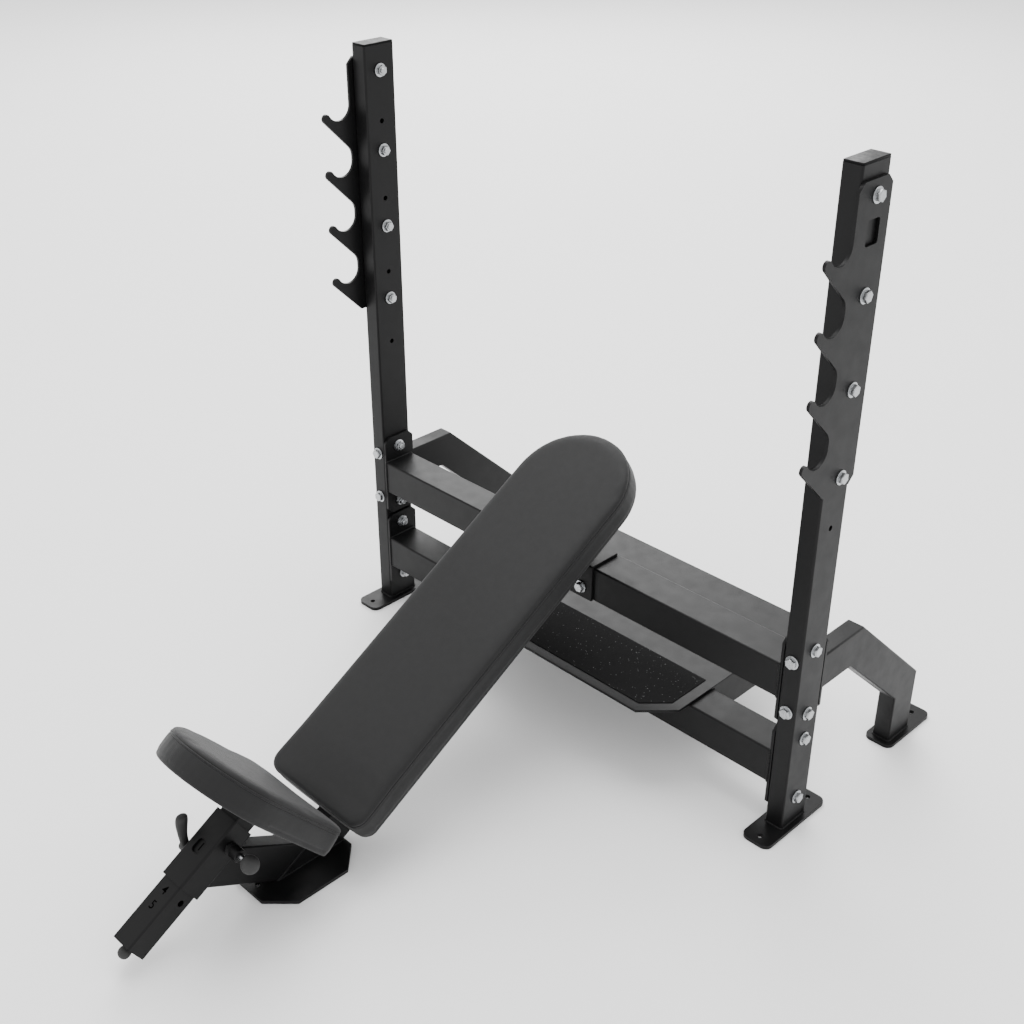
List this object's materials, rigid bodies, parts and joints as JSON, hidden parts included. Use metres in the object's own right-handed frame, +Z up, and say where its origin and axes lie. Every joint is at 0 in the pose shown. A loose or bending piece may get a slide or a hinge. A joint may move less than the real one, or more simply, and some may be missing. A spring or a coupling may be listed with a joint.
{
  "type": "olympic bench press",
  "caption": "Incline barbell bench: hooked uprights on a braced base, inclined back pad, sliding seat on a post with pop-pin and clamp, and a spotter platform.",
  "frame": {"origin": "middle of the bench's footprint box, at floor level", "axes": "+Z up, +Y from the seat towards the uprights and rear legs, +X across the bench to the right-hand upright seen from the seat end"},
  "size_m": [1.2696, 1.6796, 1.36],
  "materials": {
    "powder_coat": "satin black powder coat",
    "zinc_steel": "bright zinc plate",
    "spring_steel": "bare spring wire",
    "vinyl": "matt black fine-grained vinyl",
    "plywood": "bare plywood",
    "anti_slip": "gritty anti-slip sheet",
    "rubber": "matt",
    "black_plastic": "fine matt"
  },
  "bodies": {
    "frame": {"back_pad": "vinyl", "back_pad_board": "plywood", "clamp_boss": "powder_coat", "clamp_screw": "zinc_steel", "cross_bolt_1_left": "zinc_steel", "cross_bolt_1_right": "zinc_steel", "cross_bolt_2_left": "zinc_steel", "cross_bolt_2_right": "zinc_steel", "cross_bolt_3_left": "zinc_steel", "cross_bolt_3_right": "zinc_steel", "cross_bolt_4_left": "zinc_steel", "cross_bolt_4_right": "zinc_steel", "front_foot": "powder_coat", "leg_bolt_1_left": "zinc_steel", "leg_bolt_1_right": "zinc_steel", "leg_bolt_2_left": "zinc_steel", "leg_bolt_2_right": "zinc_steel", "lower_crossmember": "powder_coat", "neck": "powder_coat", "pad_mount_1": "powder_coat", "pad_mount_2": "powder_coat", "platform_grip": "anti_slip", "pop_pin_barrel": "powder_coat", "pop_pin_spring": "spring_steel", "rack_bolt_1_left": "zinc_steel", "rack_bolt_1_right": "zinc_steel", "rack_bolt_2_left": "zinc_steel", "rack_bolt_2_right": "zinc_steel", "rack_bolt_3_left": "zinc_steel", "rack_bolt_3_right": "zinc_steel", "rack_bolt_4_left": "zinc_steel", "rack_bolt_4_right": "zinc_steel", "rack_plate_left": "powder_coat", "rack_plate_right": "powder_coat", "rear_leg_left": "powder_coat", "rear_leg_right": "powder_coat", "saddle": "powder_coat", "saddle_bolt_left": "zinc_steel", "saddle_bolt_right": "zinc_steel", "seat_sleeve": "powder_coat", "sleeve_liner": "black_plastic", "spine": "powder_coat", "spotter_platform": "powder_coat", "upper_crossmember": "powder_coat", "upright_cap_left": "black_plastic", "upright_cap_right": "black_plastic", "upright_foot_left": "powder_coat", "upright_foot_right": "powder_coat", "upright_left": "powder_coat", "upright_right": "powder_coat"},
    "seat_carriage": {"seat_post": "powder_coat", "post_bumper": "rubber", "seat_plate": "powder_coat", "seat_pad_board": "plywood", "seat_pad": "vinyl"},
    "pop_pin": {"pop_pin_plunger": "zinc_steel", "pop_pin_knob": "black_plastic"},
    "clamp": {"clamp_lever": "black_plastic"}
  },
  "joints": [
    {"name": "seat_slide", "type": "slide", "parent": "frame", "child": "seat_carriage", "axis": [0, 0.866, 0.5], "range_m": [0, 0.128]},
    {"name": "pop_pin_pull", "type": "slide", "parent": "frame", "child": "pop_pin", "axis": [1, 0, 0], "range_m": [-0.012, 0]},
    {"name": "clamp_turn", "type": "hinge", "parent": "frame", "child": "clamp", "pos_m": [-0.05, -0.64704, 0.14434], "axis": [1, 0, 0], "range_deg": [-60, 90]}
  ]
}
